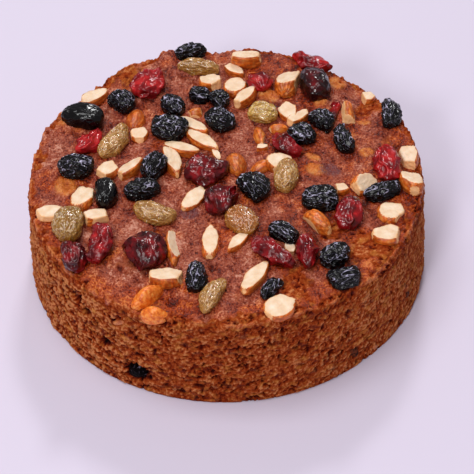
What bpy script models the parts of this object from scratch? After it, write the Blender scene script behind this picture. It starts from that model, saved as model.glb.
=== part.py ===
"""A round, uncut fruit cake with dried fruit and chopped almonds baked onto its top crust.

The frame is in metres with +Z up. The origin is the middle of the flat base.
The cake is one solid. Each large topping is a solid of its own, resting on the crust.
"""

import math

import bmesh
import bpy
from mathutils import Matrix, Vector, noise

MM = 0.001

# The cake
TOP_RADIUS = 81 * MM
BASE_RADIUS = 83 * MM
HEIGHT = 44.5 * MM
DOME_RISE = 1.2 * MM
SHOULDER_RADIUS = 4 * MM
BASE_ROUNDING = 0.8 * MM
WALL_WAVE = 0.25 * MM
RIM_BAND = 20 * MM
TURN_STEPS = 80
TOP_RINGS = (0, 0.35, 0.62, 0.75, 0.84, 0.92, 1)
SHOULDER_STEPS = 3
WALL_RINGS = (0.3, 0.65, 1)
NEAR = 0.01 * MM

# The uneven rim: how far it stands above its mean height, in mm, at angles in degrees round from +X
RIM_RISE = (
    (8, -2.5), (14, 1.5), (24, 1.8), (34, -1.0), (52, -1.4), (66, 1.0), (78, 1.4), (92, -1.4),
    (107, 3.2), (114, 0.8), (123, 2.2), (138, -2.2), (155, 2.2), (172, 0.6), (198, 0.4),
    (232, -0.8), (270, 0.0), (310, -1.0), (328, 0.4), (350, 0.2),
)

# The toppings: x, y, turn, length, width and height, in mm and degrees
BLACK_RAISINS = (
    (-58.5, 35, 2, 19, 11.5, 10),
    (-42.5, 45, -40, 12.5, 10.5, 9),
    (-61, 4.5, -12, 16.5, 12, 10),
    (-21.5, 40.5, -44, 12, 10, 9),
    (-23.5, 25, -11, 16, 12.5, 10),
    (-29, 3.5, 78, 14.5, 10.5, 10),
    (-13.5, 73.5, 8, 14, 6.5, 9),
    (-10, 46.5, -33, 10.5, 7, 8),
    (-1, 43.5, -29, 9, 8, 8),
    (-1.5, 30.5, -56, 14.5, 12, 9),
    (32.5, 20, -40, 13, 10.5, 9),
    (41.5, 28.5, -58, 13, 8.5, 8),
    (49, 16.5, -80, 16, 7.5, 8),
    (70, 29, 85, 16, 9, 8),
    (11.5, -11, -42, 15.5, 13.5, 10),
    (38, -18.5, -18, 15, 12.5, 9),
    (63, -15, 25, 17, 8, 8),
    (22, -36.5, -29, 14.5, 8, 8),
    (41.5, -49.5, 42, 13, 10, 9),
    (44.5, -60, 6, 14.5, 9.5, 8),
    (15.5, -65, 57, 12.5, 6, 6),
    (-12.5, -58.5, 70, 15.5, 8.5, 9),
    (-48, -11, -78, 15.5, 9.5, 9),
    (-34.5, -9.5, 12, 15.5, 9.5, 9),
)
GOLDEN_RAISINS = (
    (-45.5, 19.5, 71, 21.5, 9.5, 8),
    (-10.5, 65, -5, 19.5, 7, 8),
    (16.5, 34.5, -34, 14, 11, 8),
    (24.5, -4.5, 78, 18.5, 11, 8),
    (-7, -67, 69, 18, 8, 7),
    (-29, -23.5, -14, 19, 10, 8),
    (5.5, -28, -72, 17, 13, 7),
    (-63.5, -27, 68, 19, 13, 9),
)
CRANBERRIES = (
    (-31, 54.5, 34, 19, 14, 9),
    (-55.5, 20, 60, 15.5, 11, 7),
    (16, 54, -86, 12, 11, 8),
    (39, 51, -78, 17.5, 14, 11),
    (38.5, 65.5, -23, 18, 7.5, 8),
    (25, 13.5, -43, 17, 8.5, 7),
    (66, 2, 83, 21, 12.5, 9),
    (-8.5, 0, -69, 19.5, 17.5, 9),
    (48.5, -26.5, -88, 18.5, 10.5, 9),
    (17, -46.5, -48, 23, 9.5, 8),
    (31, -47, 82, 19.5, 9.5, 9),
    (-32, -44, -78, 20, 15.5, 10),
    (-3, -17, 60, 16.5, 14, 8),
    (-50, -39.5, 82, 21, 11, 9),
    (-60.5, -45, -56, 15.5, 11, 9),
)
# Each almond piece also has the lean of its cut face, in degrees, and the share chopped off its far end
ALMONDS = (
    (28, 55, 77, 20, 9.5, 7, -30, 0.2),
    (52, 30.5, -81, 18, 7, 6, -50, 0.3),
    (75, -10.5, -76, 14.5, 10, 6, 25, 0.3),
    (65.5, -25, 62, 13, 10.5, 5, 0, 0.25),
    (63.5, -38, -4, 13.5, 10, 5, 0, 0.2),
    (36.5, -31.5, -47, 19, 6.5, 6, -60, 0.25),
    (10, -59, 57, 18.5, 7, 5, 10, 0.0),
    (19.5, -73, 49, 15, 11, 5, 0, 0.3),
    (-24, -57.5, -7, 14.5, 8, 6, 20, 0.1),
    (-13, -14, 53, 15, 7.5, 4, 0, 0.1),
    (-7, -37, 87, 19, 7, 4, 0, 0.1),
    (-58, -9.5, 72, 15, 9.5, 5, 0, 0.3),
)
REST_GAP = 0.3 * MM
FRUIT_SINK = 1.2 * MM
ALMOND_SINK = 0.8 * MM
# The depth of the lumps as a share of the fruit's size, and how closely they follow each other
RAISIN_LUMPS = 0.09
CRANBERRY_LUMPS = 0.14
LUMP_SCALE = 4.4
# A kernel narrows by the taper towards its tip. It is deeper than the piece that is cut from it.
ALMOND_TAPER = 0.45
KERNEL_DEPTH = 1.6
CUT_ABOVE_MIDDLE = 0.3
CHOP_SLOPE = 0.2
FRUIT_SEGMENTS = 12
FRUIT_RINGS = 6
ALMOND_SEGMENTS = 12
ALMOND_RINGS = 8


def smooth_step(value):
    """0 below 0 and 1 above 1, with a smooth rise between."""
    t = min(max(value, 0.0), 1.0)
    return t * t * (3 - 2 * t)


def rim_rise(angle):
    """The rim's height above its mean: smooth steps from each angle of RIM_RISE to the next."""
    degrees = math.degrees(angle) % 360
    stops = [(RIM_RISE[-1][0] - 360, RIM_RISE[-1][1]), *RIM_RISE, (RIM_RISE[0][0] + 360, RIM_RISE[0][1])]
    for (start, low), (end, high) in zip(stops, stops[1:]):
        if start <= degrees <= end:
            return (low + (high - low) * smooth_step((degrees - start) / (end - start))) * MM
    raise ValueError("angle outside the table")


def crust_height(x, y):
    """The height of the top crust at a point: a shallow dome whose outer band follows the rim."""
    radius = math.hypot(x, y)
    dome = DOME_RISE * (1 - min(radius / TOP_RADIUS, 1) ** 2)
    flat_radius = TOP_RADIUS - SHOULDER_RADIUS
    share = smooth_step((radius - flat_radius + RIM_BAND) / RIM_BAND)
    height = HEIGHT + dome + share * rim_rise(math.atan2(y, x))
    over = min(max(radius - flat_radius, 0.0), SHOULDER_RADIUS)
    return height - SHOULDER_RADIUS + math.sqrt(SHOULDER_RADIUS**2 - over**2)


def cake_profile():
    """(radius, height) points from the middle of the top, over the shoulder, down the wall and under."""
    flat_radius = TOP_RADIUS - SHOULDER_RADIUS
    wall_top = HEIGHT - SHOULDER_RADIUS
    points = [(flat_radius * share, HEIGHT) for share in TOP_RINGS]
    for step in range(1, SHOULDER_STEPS + 1):
        turn = math.radians(90 * step / SHOULDER_STEPS)
        out, up = SHOULDER_RADIUS * math.sin(turn), SHOULDER_RADIUS * math.cos(turn)
        points.append((flat_radius + out, wall_top + up))
    for share in WALL_RINGS:
        height = wall_top + (BASE_ROUNDING - wall_top) * share
        points.append((TOP_RADIUS + (BASE_RADIUS - TOP_RADIUS) * share, height))
    points.append((BASE_RADIUS - BASE_ROUNDING, 0.0))
    points.append((0.0, 0.0))
    return points


def shape_cake(vertex):
    """Moves a vertex of the turned cake: the top onto the uneven crust, the wall in and out by its waves."""
    x, y, z = vertex.co
    radius = math.hypot(x, y)
    angle = math.atan2(y, x)
    wall_top = HEIGHT - SHOULDER_RADIUS
    if z > wall_top + NEAR:
        vertex.co.z = crust_height(x, y)
    elif z > BASE_ROUNDING + NEAR:
        up = (z - BASE_ROUNDING) / (wall_top - BASE_ROUNDING)
        wave = math.sin(9 * angle) * math.sin(4 * up + 2 * angle)
        inset = WALL_WAVE * (1 + wave)
        vertex.co.x *= 1 - inset / radius
        vertex.co.y *= 1 - inset / radius
        vertex.co.z += rim_rise(angle) * smooth_step(2 * up - 1)


def add_object(name, bm, material, collection):
    """Makes a smooth-shaded object of the mesh and puts it in the collection."""
    bmesh.ops.recalc_face_normals(bm, faces=bm.faces)
    mesh = bpy.data.meshes.new(name)
    bm.to_mesh(mesh)
    bm.free()
    mesh.shade_smooth()
    mesh.set_sharp_from_angle(angle=math.radians(45))
    mesh.materials.append(material)
    obj = bpy.data.objects.new(name, mesh)
    collection.objects.link(obj)
    return obj


def add_material(name, colour, roughness):
    """A plain non-metal surface."""
    material = bpy.data.materials.new(name)
    material.use_nodes = True
    shader = material.node_tree.nodes["Principled BSDF"]
    shader.inputs["Base Color"].default_value = (*colour, 1)
    shader.inputs["Roughness"].default_value = roughness
    shader.inputs["Metallic"].default_value = 0.0
    return material


def add_cake(material, collection):
    """The cake: its profile turned about the axis, then shaped by its uneven crust and wall."""
    bm = bmesh.new()
    verts = [bm.verts.new((radius, 0, height)) for radius, height in cake_profile()]
    edges = [bm.edges.new(pair) for pair in zip(verts, verts[1:])]
    bmesh.ops.spin(
        bm,
        geom=verts + edges,
        cent=(0, 0, 0),
        axis=(0, 0, 1),
        angle=math.tau,
        steps=TURN_STEPS,
        use_merge=True,
    )
    bmesh.ops.remove_doubles(bm, verts=bm.verts, dist=NEAR)
    for vertex in bm.verts:
        shape_cake(vertex)
    add_object("cake", bm, material, collection)


def rest_on_crust(bm, obj_matrix):
    """Lifts every vertex that would lie in the crust to just above it, so the underside takes its form."""
    for vertex in bm.verts:
        world = obj_matrix @ vertex.co
        lowest = crust_height(world.x, world.y) + REST_GAP
        if world.z < lowest:
            vertex.co.z += lowest - world.z


def place(x, y, turn, height, sink):
    """The matrix of a piece of this height, in metres, that stands in the crust by its sink."""
    x, y = x * MM, y * MM
    middle = crust_height(x, y) + height / 2 - sink
    return Matrix.Translation((x, y, middle)) @ Matrix.Rotation(math.radians(turn), 4, "Z")


def add_fruit(name, row, lumps, seed, material, collection):
    """One dried fruit: an ellipsoid with lumps, flattened where it rests."""
    x, y, turn, *size = row
    length, width, height = (side * MM for side in size)
    bm = bmesh.new()
    bmesh.ops.create_uvsphere(bm, u_segments=FRUIT_SEGMENTS, v_segments=FRUIT_RINGS, radius=0.5)
    for vertex in bm.verts:
        swell = noise.noise(vertex.co * LUMP_SCALE + Vector((7.3 * seed, 0, 0)))
        vertex.co *= 1 + lumps * (2 * swell - 0.5)
        vertex.co = Vector((vertex.co.x * length, vertex.co.y * width, vertex.co.z * height))
    matrix = place(x, y, turn, height, FRUIT_SINK)
    rest_on_crust(bm, matrix)
    obj = add_object(name, bm, material, collection)
    obj.matrix_world = matrix


def cut_flat(bm, point, normal):
    """Cuts away what lies on the normal's side of the plane and closes the cut with one flat face."""
    geometry = bm.verts[:] + bm.edges[:] + bm.faces[:]
    cut = bmesh.ops.bisect_plane(bm, geom=geometry, plane_co=point, plane_no=normal, clear_outer=True)
    edges = [item for item in cut["geom_cut"] if isinstance(item, bmesh.types.BMEdge)]
    bmesh.ops.contextual_create(bm, geom=edges)


def add_almond(name, row, material, collection):
    """One piece of chopped almond: the lower half of a tapered kernel under a flat cut, its end chopped."""
    x, y, turn, *size, lean, chop = row
    length, width, height = (side * MM for side in size)
    bm = bmesh.new()
    bmesh.ops.create_uvsphere(bm, u_segments=ALMOND_SEGMENTS, v_segments=ALMOND_RINGS, radius=0.5)
    for vertex in bm.verts:
        taper = 1 - ALMOND_TAPER * smooth_step(vertex.co.x + 0.1)
        x_along, y_across, z_up = vertex.co
        vertex.co = (x_along * length, y_across * width * taper, z_up * height * KERNEL_DEPTH)
    if chop:
        cut_flat(bm, (length * (0.5 - chop), 0, 0), Vector((1, 0, CHOP_SLOPE)).normalized())
    face_normal = Matrix.Rotation(math.radians(lean), 3, "X") @ Vector((0, 0, 1))
    cut_flat(bm, face_normal * height * CUT_ABOVE_MIDDLE, face_normal)
    matrix = place(x, y, turn, height, ALMOND_SINK)
    rest_on_crust(bm, matrix)
    obj = add_object(name, bm, material, collection)
    obj.matrix_world = matrix


def main():
    for obj in list(bpy.data.objects):
        bpy.data.objects.remove(obj, do_unlink=True)
    collection = bpy.data.collections.new("fruit_cake")
    bpy.context.scene.collection.children.link(collection)

    add_cake(add_material("crumb", (0.24, 0.09, 0.045), 0.85), collection)

    fruit = (
        ("black_raisin", BLACK_RAISINS, RAISIN_LUMPS, (0.012, 0.011, 0.016), 0.35),
        ("golden_raisin", GOLDEN_RAISINS, RAISIN_LUMPS, (0.32, 0.19, 0.06), 0.4),
        ("cranberry", CRANBERRIES, CRANBERRY_LUMPS, (0.19, 0.012, 0.012), 0.3),
    )
    for kind, rows, lumps, colour, roughness in fruit:
        material = add_material(kind, colour, roughness)
        for number, row in enumerate(rows, 1):
            add_fruit(f"{kind}_{number:02}", row, lumps, number, material, collection)

    almond = add_material("almond", (0.72, 0.46, 0.25), 0.6)
    for number, row in enumerate(ALMONDS, 1):
        add_almond(f"almond_{number:02}", row, almond, collection)


main()
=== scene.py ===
import math

import bpy
import numpy as np
from mathutils import Matrix, Vector


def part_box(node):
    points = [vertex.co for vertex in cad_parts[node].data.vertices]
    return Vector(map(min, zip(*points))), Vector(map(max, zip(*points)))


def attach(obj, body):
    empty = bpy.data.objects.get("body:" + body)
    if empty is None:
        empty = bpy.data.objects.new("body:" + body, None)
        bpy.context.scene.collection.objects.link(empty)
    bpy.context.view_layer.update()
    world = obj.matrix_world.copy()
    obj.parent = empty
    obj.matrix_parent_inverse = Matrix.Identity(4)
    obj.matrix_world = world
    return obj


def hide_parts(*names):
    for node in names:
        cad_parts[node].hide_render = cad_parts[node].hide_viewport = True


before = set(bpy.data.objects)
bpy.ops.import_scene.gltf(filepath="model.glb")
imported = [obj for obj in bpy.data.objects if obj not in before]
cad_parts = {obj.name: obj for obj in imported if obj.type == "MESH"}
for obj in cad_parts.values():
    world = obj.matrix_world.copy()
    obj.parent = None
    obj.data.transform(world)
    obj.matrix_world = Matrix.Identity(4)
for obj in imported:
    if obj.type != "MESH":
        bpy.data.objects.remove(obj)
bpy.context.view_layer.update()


# ---- The crumb ----
# A dense fruit cake, baked in a round paper-lined tin and turned out whole. Where the paper was peeled off,
# the wall is torn crumb: matt orange-brown grains with dark hollows between, drawn out level with the base.
# The sizes are in mm, as in every section below.

MM = 0.001
TOP_RADIUS = 81
BASE_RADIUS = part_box("cake")[1][0] / MM
HEIGHT = 44.5
DOME_RISE = 1.2
SHOULDER = 4
BASE_ROUNDING = 0.8
RIM_BAND = 20
FLAT_RADIUS = TOP_RADIUS - SHOULDER
WALL_TOP = HEIGHT - SHOULDER

# The uneven rim: how far it stands above its mean height, at angles in degrees round from +X
RIM_RISE = (
    (8, -2.5), (14, 1.5), (24, 1.8), (34, -1.0), (52, -1.4), (66, 1.0), (78, 1.4), (92, -1.4),
    (107, 3.2), (114, 0.8), (123, 2.2), (138, -2.2), (155, 2.2), (172, 0.6), (198, 0.4),
    (232, -0.8), (270, 0.0), (310, -1.0), (328, 0.4), (350, 0.2),
)

# Larger hollows, in the wall and then in the crust: x, y, z, radius and depth
HOLLOWS = (
    (-37.6, -72.4, 9.4, 5.6, 4.2), (-60.5, -54.8, 32.8, 3.4, 3.2), (-57.5, -57.5, 28.4, 2.8, 2.6),
    (-50.2, -64.3, 18.1, 3.0, 2.6), (48.8, -65.4, 8.0, 3.0, 1.2), (72.1, -38.3, 11.6, 2.8, 1.0),
    (20.0, 79.5, 24.0, 2.8, 2.0), (-70.0, 41.0, 15.0, 3.0, 2.2), (74.0, 33.0, 20.0, 2.4, 1.6),
    (-42.5, -48.5, 44.8, 1.5, 1.3), (-6.2, -51.2, 45.0, 2.3, 1.8), (-34.2, -60.6, 44.6, 1.4, 1.0),
    (-22.2, -67.4, 44.5, 3.6, 1.6), (31.0, -4.0, 45.0, 1.3, 0.9), (-18.0, 13.0, 45.0, 1.2, 0.9),
    (-71.6, -39.5, 24.0, 2.4, 2.0), (-66.0, -48.5, 12.5, 2.2, 2.0), (-12.0, -81.0, 31.0, 1.8, 1.4),
)
def smooth_step(value):
    """0 below 0 and 1 above 1, with a smooth rise between."""
    t = np.clip(value, 0, 1)
    return t * t * (3 - 2 * t)


def bell(value, middle, width):
    """A bell curve: 1 at the middle, about a third one width away from it, and 0 far out."""
    return np.exp(-(((value - middle) / width) ** 2))


def hashed(cells, salt):
    """A repeatable number from 0 to 1 for each whole-numbered cell: its indices mixed as 32-bit integers."""
    mixed = cells.astype(np.int64) @ np.array((73856093, 19349663, 83492791)) + salt * 97911
    mixed = ((mixed ^ (mixed >> 13)) * 1274126177) & 0xFFFFFFFF
    mixed = ((mixed ^ (mixed >> 15)) * 1103515245) & 0xFFFFFFFF
    return ((mixed ^ (mixed >> 16)) & 0xFFFFFF) / 0xFFFFFF


def soft_noise(points, salt=0):
    """Smooth noise from about -1 to 1. Each lattice corner has a random slope, and the heights that the
    eight slopes round a point give there are blended by a quintic step."""
    cell = np.floor(points).astype(np.int64)
    inside = points - cell
    blend = inside**3 * (inside * (inside * 6 - 15) + 10)
    total = np.zeros(len(points))
    for corner in np.ndindex(2, 2, 2):
        slope = np.stack([hashed(cell + corner, salt + k) for k in range(3)], 1) * 2 - 1
        weight = np.prod(np.where(corner, blend, 1 - blend), axis=1)
        total += weight * np.sum(slope * (inside - corner), axis=1)
    return total * 1.8


def to_nearest_seed(points, salt=0):
    """The distance from each point to the nearest of the seeds scattered one to a lattice cell."""
    cell = np.floor(points).astype(np.int64)
    nearest = np.full(len(points), 9.0)
    for step in np.ndindex(3, 3, 3):
        at = cell + step - 1
        seed = at + np.stack([hashed(at, salt + k) for k in range(3)], 1)
        nearest = np.minimum(nearest, np.linalg.norm(points - seed, axis=1))
    return nearest


def rim_rise(angle):
    """The rim's height above its mean: smooth steps from each angle of RIM_RISE to the next."""
    stops, rises = np.array(RIM_RISE).T
    stops = np.concatenate([[stops[-1] - 360], stops, [stops[0] + 360]])
    rises = np.concatenate([[rises[-1]], rises, [rises[0]]])
    place = np.interp(np.degrees(angle) % 360, stops, np.arange(len(stops)))
    before = np.minimum(place.astype(int), len(stops) - 2)
    return rises[before] + (rises[before + 1] - rises[before]) * smooth_step(place - before)


def larger_hollows(points):
    """How deep each point lies in the larger hollows: each is a round-bottomed dent that fades at its radius,
    with an uneven edge."""
    depth = np.zeros(len(points))
    ragged = 1 + 0.35 * soft_noise(points / 1.7, 71)
    for *middle, radius, deep in HOLLOWS:
        away = np.linalg.norm(points - middle, axis=1) * ragged / radius
        depth = np.maximum(depth, deep * (1 - smooth_step(away * 1.1 - 0.25)))
    return depth


def torn_crumb(points):
    """How far torn crumb stands out, in mm, and its tone from 0, deep, to 1, high. The tone follows the relief,
    so the pits are painted darker as shade and the raised grains lighter as light, over the crumb's own colour.
    Smooth noise of three sizes makes the clumps, distances to scattered seeds make the grains on them, and pits
    are cut where two further noises are high together. The clumps are wrung a little and drawn out level, and
    the grains are not."""
    level = points * (1, 1, 1.2)
    upright = points * (1, 1, 0.8)
    level = level + np.stack([soft_noise(level / 2.6, 80 + k) for k in range(3)], 1) * 1.0
    wide = soft_noise(points / 11, 40)
    clumps = soft_noise(level / 4.2, 30)
    lumps = soft_noise(level / 1.7, 34)
    crumbs = soft_noise(upright / 0.95, 37)
    grains = 0.6 - to_nearest_seed(upright / 1.1, 5)
    open_noise = soft_noise(level / 1.3, 44) + 0.8 * soft_noise(level / 4.4, 47) + 0.4 * wide
    pits = smooth_step((open_noise - 0.46) / 0.4)
    out = 0.45 * wide + 0.4 * clumps + 0.28 * lumps + 0.3 * crumbs + 0.36 * grains - 0.95 * pits
    tone = 0.57 + 0.1 * wide + 0.2 * clumps + 0.26 * lumps + 0.38 * crumbs + 0.28 * grains - 0.6 * pits
    return out, tone


def put_mesh(name, points, faces, **values):
    """A smooth-shaded object of these points, in mm, and faces, with a number or a place at each point for each
    value."""
    mesh = bpy.data.meshes.new(name)
    mesh.from_pydata((points * MM).tolist(), [], faces)
    mesh.update()
    for label, numbers in values.items():
        kind, field, unit = ("FLOAT_VECTOR", "vector", MM) if numbers.ndim == 2 else ("FLOAT", "value", 1)
        layer = mesh.attributes.new(label, kind, "POINT")
        layer.data.foreach_set(field, (numbers * unit).astype(np.float32).ravel())
    mesh.shade_smooth()
    piece = bpy.data.objects.new(name, mesh)
    bpy.context.scene.collection.objects.link(piece)
    return piece


def tube_faces(rows, turns, start=0):
    """Quads between rings of points, with a fan of triangles to a single point at each end."""
    turn = np.arange(turns)
    beside = (turn + 1) % turns
    low = start + 1 + np.arange(rows - 1)[:, None] * turns
    quads = np.stack([low + turn, low + beside, low + turns + beside, low + turns + turn], -1)
    first, last = low[0], low[-1] + turns
    start_fan = np.stack([0 * turn + start, first + beside, first + turn], -1)
    end_fan = np.stack([0 * turn + last + turns, last + turn, last + beside], -1)
    return quads.reshape(-1, 4).tolist() + start_fan.tolist() + end_fan.tolist()


CRUMB_TURNS = 1000
WALL_ROWS = 84
# How far the tin is out of round, and how far the grains are set back so that they stay inside the wall
OUT_OF_ROUND = 0.25
SET_BACK = 0.35
# Angles in degrees: where the paper pulled more crumb away, and where the wall's tone is painted darker as
# shade and paler as light
PULLED_AT, PAINTED_SHADE_AT, PAINTED_LIGHT_AT = 214, 270, 325
# Rings under the base and then under the crust: radius, and height above the base or the wall's top
BASE_RINGS = ((45, 0), (72, 0), (80.6, 0), (BASE_RADIUS - BASE_ROUNDING, 0))
LID_RINGS = ((79, 0.2), (72, 0.3), (40, 0.3))

angle = np.linspace(0, math.tau, CRUMB_TURNS, endpoint=False)
rise = rim_rise(angle)
up = np.linspace(0, 1, WALL_ROWS)[:, None]
wall_z = BASE_ROUNDING + (WALL_TOP - BASE_ROUNDING) * up + rise * smooth_step(2 * up - 1)
wall_r = BASE_RADIUS + (TOP_RADIUS - BASE_RADIUS) * up + 0 * angle
wall_r = wall_r - OUT_OF_ROUND * (1 + np.sin(9 * angle) * np.sin(4 * up + 2 * angle))
plain = np.stack([wall_r * np.cos(angle), wall_r * np.sin(angle), wall_z], -1).reshape(-1, 3)
out, wall_tone = torn_crumb(plain)
dent = larger_hollows(plain)
degrees = np.degrees(np.tile(angle, WALL_ROWS))
# The paper pulled the crumb away in level streaks
pulled = 0.6 * bell(degrees, PULLED_AT, 26)
streaks = pulled * soft_noise(plain * (1, 1, 2.6) / 3.2, 140)
out = (out * (1 + pulled) + streaks - SET_BACK - dent).reshape(wall_r.shape)
# Painted shade and light in the tone: darker in the larger hollows, lighter on the pulled side, and below,
# darker at the front and paler on the right
wall_tone = 0.62 + (wall_tone - 0.55) * (1 + 1.5 * pulled) + 0.8 * streaks - 0.4 * dent + 0.08 * pulled
wall_tone += 0.07 * bell(degrees, PAINTED_LIGHT_AT, 32) - 0.07 * bell(degrees, PAINTED_SHADE_AT, 34)
# The foot of the wall stays close to the sheet that the cake stands on
wall_r = wall_r + out * smooth_step(0.5 + up * 16)
lid_share = [smooth_step((radius - FLAT_RADIUS + RIM_BAND) / RIM_BAND) for radius, _ in LID_RINGS]
ring_r = [radius + 0 * angle for radius, _ in BASE_RINGS]
ring_r[-1] = np.minimum(ring_r[-1], wall_r[0] - 0.3)
ring_r = np.vstack([ring_r, wall_r, [radius + 0 * angle for radius, _ in LID_RINGS]])
ring_z = np.vstack([
    [height + 0 * angle for _, height in BASE_RINGS], wall_z,
    [WALL_TOP + height + share * rise for (_, height), share in zip(LID_RINGS, lid_share)],
])
crumb_points = np.stack([ring_r * np.cos(angle), ring_r * np.sin(angle), ring_z], -1).reshape(-1, 3)
crumb_points = np.vstack([[0, 0, 0], crumb_points, [0, 0, WALL_TOP]])
crumb_tone = np.full(len(crumb_points), 0.5)
wall_from = 1 + len(BASE_RINGS) * CRUMB_TURNS
crumb_tone[wall_from:wall_from + len(wall_tone)] = wall_tone
crumb = put_mesh("cake_crumb", crumb_points, tube_faces(len(ring_r), CRUMB_TURNS), tone=crumb_tone)
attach(crumb, "root")
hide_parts("cake")


def linear(red, green, blue):
    """A screen colour, 0 to 255, as the linear colour that the shader takes."""
    shares = np.array((red, green, blue)) / 255
    low, high = shares / 12.92, ((shares + 0.055) / 1.055) ** 2.4
    return (*np.where(shares <= 0.04045, low, high).tolist(), 1)


def add_node(tree, kind, inputs=None, **settings):
    """Adds a node with these settings. Each input is a value, or the socket that it comes from."""
    made = tree.nodes.new(kind)
    for key, value in settings.items():
        setattr(made, key, value)
    for key, value in (inputs or {}).items():
        if isinstance(value, bpy.types.NodeSocket):
            tree.links.new(value, made.inputs[key])
        else:
            made.inputs[key].default_value = value
    return made


def new_material(piece, name, settings):
    """The nodes of a new material on the piece, its Principled shader, whose inputs have these settings, and
    the object coordinates that its patterns read."""
    material = bpy.data.materials.new(name)
    material.use_nodes = True
    piece.data.materials.append(material)
    tree = material.node_tree
    shader = tree.nodes["Principled BSDF"]
    for label, value in settings.items():
        shader.inputs[label].default_value = value
    return tree, shader, add_node(tree, "ShaderNodeTexCoord").outputs["Object"]


def new_group(name, numbers, output, kind):
    """A node group that takes coordinates and these numbers, and puts out one colour or number. It comes with
    the sockets that bring its inputs, and the socket that takes its output."""
    group = bpy.data.node_groups.new(name, "ShaderNodeTree")
    group.interface.new_socket("Coords", in_out="INPUT", socket_type="NodeSocketVector")
    for label in numbers:
        group.interface.new_socket(label, in_out="INPUT", socket_type="NodeSocketFloat")
    group.interface.new_socket(output, in_out="OUTPUT", socket_type=kind)
    return group, group.nodes.new("NodeGroupInput").outputs, group.nodes.new("NodeGroupOutput").inputs[0]


def group_node(tree, group, **inputs):
    """A node group placed in a material, with its own inputs there."""
    return add_node(tree, "ShaderNodeGroup", inputs, node_tree=group).outputs[0]


def noise_node(tree, coords, size, detail=3, **inputs):
    """Noise whose spots are about this size, in mm."""
    values = {"Vector": coords, "Scale": 1 / (size * MM), "Detail": detail, **inputs}
    return add_node(tree, "ShaderNodeTexNoise", values, noise_dimensions="4D").outputs["Fac"]


def ramp_node(tree, factor, *stops):
    """A colour ramp: each stop is its place and its screen colour."""
    ramp = add_node(tree, "ShaderNodeValToRGB", {"Fac": factor})
    elements = ramp.color_ramp.elements
    for number, (place, colour) in enumerate(stops):
        element = elements[number] if number < 2 else elements.new(place)
        element.position = place
        element.color = linear(*colour)
    return ramp.outputs["Color"]


def math_node(tree, operation, *values):
    """One step of arithmetic."""
    return add_node(tree, "ShaderNodeMath", dict(enumerate(values)), operation=operation).outputs[0]


def product_node(tree, first, *others):
    """The product of these values."""
    for value in others:
        first = math_node(tree, "MULTIPLY", first, value)
    return first


def sum_node(tree, *terms):
    """The sum of these values, each times its own factor."""
    total = 0.0
    for value, factor in terms:
        total = math_node(tree, "MULTIPLY_ADD", value, factor, total)
    return total


def mix_node(tree, factor, first, second):
    """Mixes two colours."""
    return add_node(tree, "ShaderNodeMix", {0: factor, 6: first, 7: second}, data_type="RGBA").outputs[2]


def lay_on(tree, shader, colour, bump, depth, roughness=None):
    """Gives the shader its colour, its bump, as deep as this in mm, and its roughness where that varies."""
    tree.links.new(colour, shader.inputs["Base Color"])
    made = add_node(tree, "ShaderNodeBump", {"Height": bump, "Distance": depth * MM})
    tree.links.new(made.outputs["Normal"], shader.inputs["Normal"])
    if roughness is not None:
        tree.links.new(roughness, shader.inputs["Roughness"])


def at_points(tree, label):
    """The number that the mesh holds at each point under this label."""
    return add_node(tree, "ShaderNodeAttribute", attribute_name=label).outputs["Fac"]


def range_node(tree, value, low, high, to_low=0, to_high=1):
    """The value's place between low and high, carried to the second range and held inside it."""
    return add_node(tree, "ShaderNodeMapRange", {
        "Value": value, "From Min": low, "From Max": high, "To Min": to_low, "To Max": to_high,
    }).outputs[0]


# The colour of torn crumb: its tone with grain and level streaks laid over, through a ramp from the dark
# hollows to the orange grains, whose darkest stop is painted shade for the deepest hollows. Wide patches are
# tawnier, and a few small ones are stained by the fruit.
tree, given, result = new_group("crumb_colour", ["Tone"], "Colour", "NodeSocketColor")
crumb_colour = tree
grain = noise_node(tree, given["Coords"], 1.0, 4, Roughness=0.7)
flat = add_node(tree, "ShaderNodeMapping", {"Vector": given["Coords"], "Scale": (1, 1, 2)}).outputs[0]
streak = noise_node(tree, flat, 3.6)
shade = range_node(tree, sum_node(tree, (grain, 1.5), (streak, 0.4), (given["Tone"], 1)), 0.43, 1.93)
colour = ramp_node(
    tree, shade, (0.1, (22, 5, 4)), (0.36, (72, 8, 1)), (0.52, (110, 29, 4)), (0.68, (150, 54, 13)),
    (0.84, (176, 80, 34)), (1.0, (212, 132, 82)),
)
tawny = range_node(tree, noise_node(tree, flat, 4.5), 0.52, 0.68, 0, 0.7)
colour = mix_node(tree, product_node(tree, tawny, given["Tone"]), colour, linear(206, 132, 58))
stained = range_node(tree, noise_node(tree, flat, 3.4, 2, W=2.0), 0.56, 0.66, 0, 0.55)
tree.links.new(mix_node(tree, stained, colour, linear(92, 36, 34)), result)

tree, shader, coords = new_material(crumb, "torn_crumb_finish", {"Roughness": 0.95, "Specular IOR Level": 0.1})
colour = group_node(tree, crumb_colour, Coords=coords, Tone=at_points(tree, "tone"))
lay_on(tree, shader, colour, noise_node(tree, coords, 0.9, 4, Roughness=0.75), 1.0)


# ---- The crust ----
# The top browned in the oven to a thin, leathery skin, redder than the crumb, a little greasy, and pricked all
# over by small pores. It broke where it rolls over the rim, and orange-brown crumb shows there. It swells a
# little round each topping.

CRUST_RINGS = 150
FLAT_RINGS = 130
EDGE_LENGTH = 10.5
# How far the crust's lower edge is tucked in under the wall's grains, how deep its underside lies, and how
# much smaller that is than the edge
TUCK = 2.6
CRUST_DEPTH = 4.2
UNDER_SHARE = 0.93
# How far the crust swells round a topping, and in what distance that fades
COLLAR = 0.8
COLLAR_FADE = 1.8
# How far along the crust from the middle the skin breaks
BREAK_RUN = 76
# Past the bend's start: where the lip curls, where the rim is highest, and where the flakes stand
LIP_AT, CREST_AT, FLAKES_AT = 3.4, 2.6, 3.6
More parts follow.
